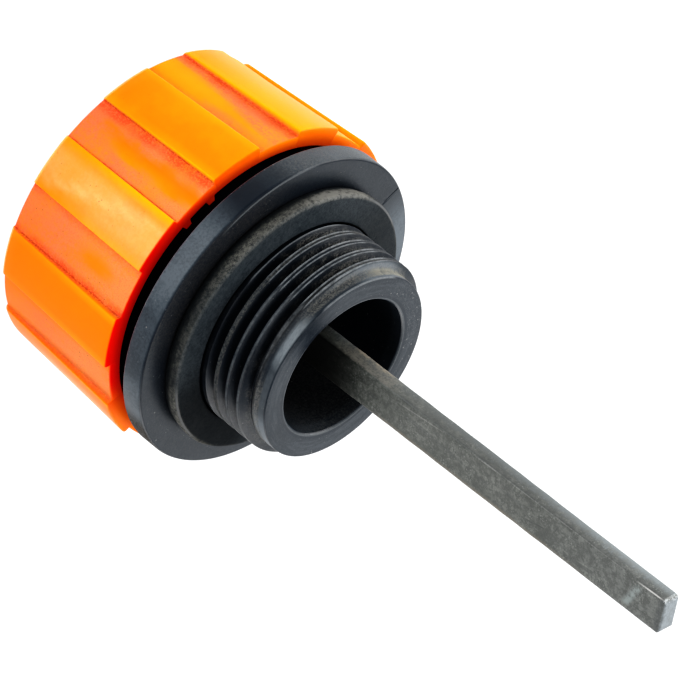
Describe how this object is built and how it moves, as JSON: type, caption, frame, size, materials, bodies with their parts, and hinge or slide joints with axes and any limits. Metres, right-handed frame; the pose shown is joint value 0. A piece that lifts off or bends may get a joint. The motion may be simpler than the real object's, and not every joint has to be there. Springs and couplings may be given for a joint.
{
  "type": "tank filler cap",
  "caption": "Round screw-in filler cap with a ribbed knob, a threaded neck, a flat seal and a flat dipstick out of its bore.",
  "frame": {"origin": "middle of the outer face of the knob's flat end, on which the cap stands", "axes": "+Z along the cap's axis towards the dipstick's tip, +X along the width of the dipstick's section, +Y along its thickness"},
  "size_m": [0.0426, 0.0428, 0.0871],
  "materials": {
    "knob": "moulded, satin, dusty",
    "plug": "moulded, satin, dusty",
    "seal": "matt, dusty",
    "dipstick": "phosphated steel, matt",
    "foam": "open-cell foam",
    "guard": "moulded"
  },
  "bodies": {
    "root": {"knob_cover": "knob", "plug_body": "plug", "seal_ring": "seal", "dipstick": "dipstick", "foam_filter": "foam", "splash_guard": "guard"}
  },
  "joints": []
}
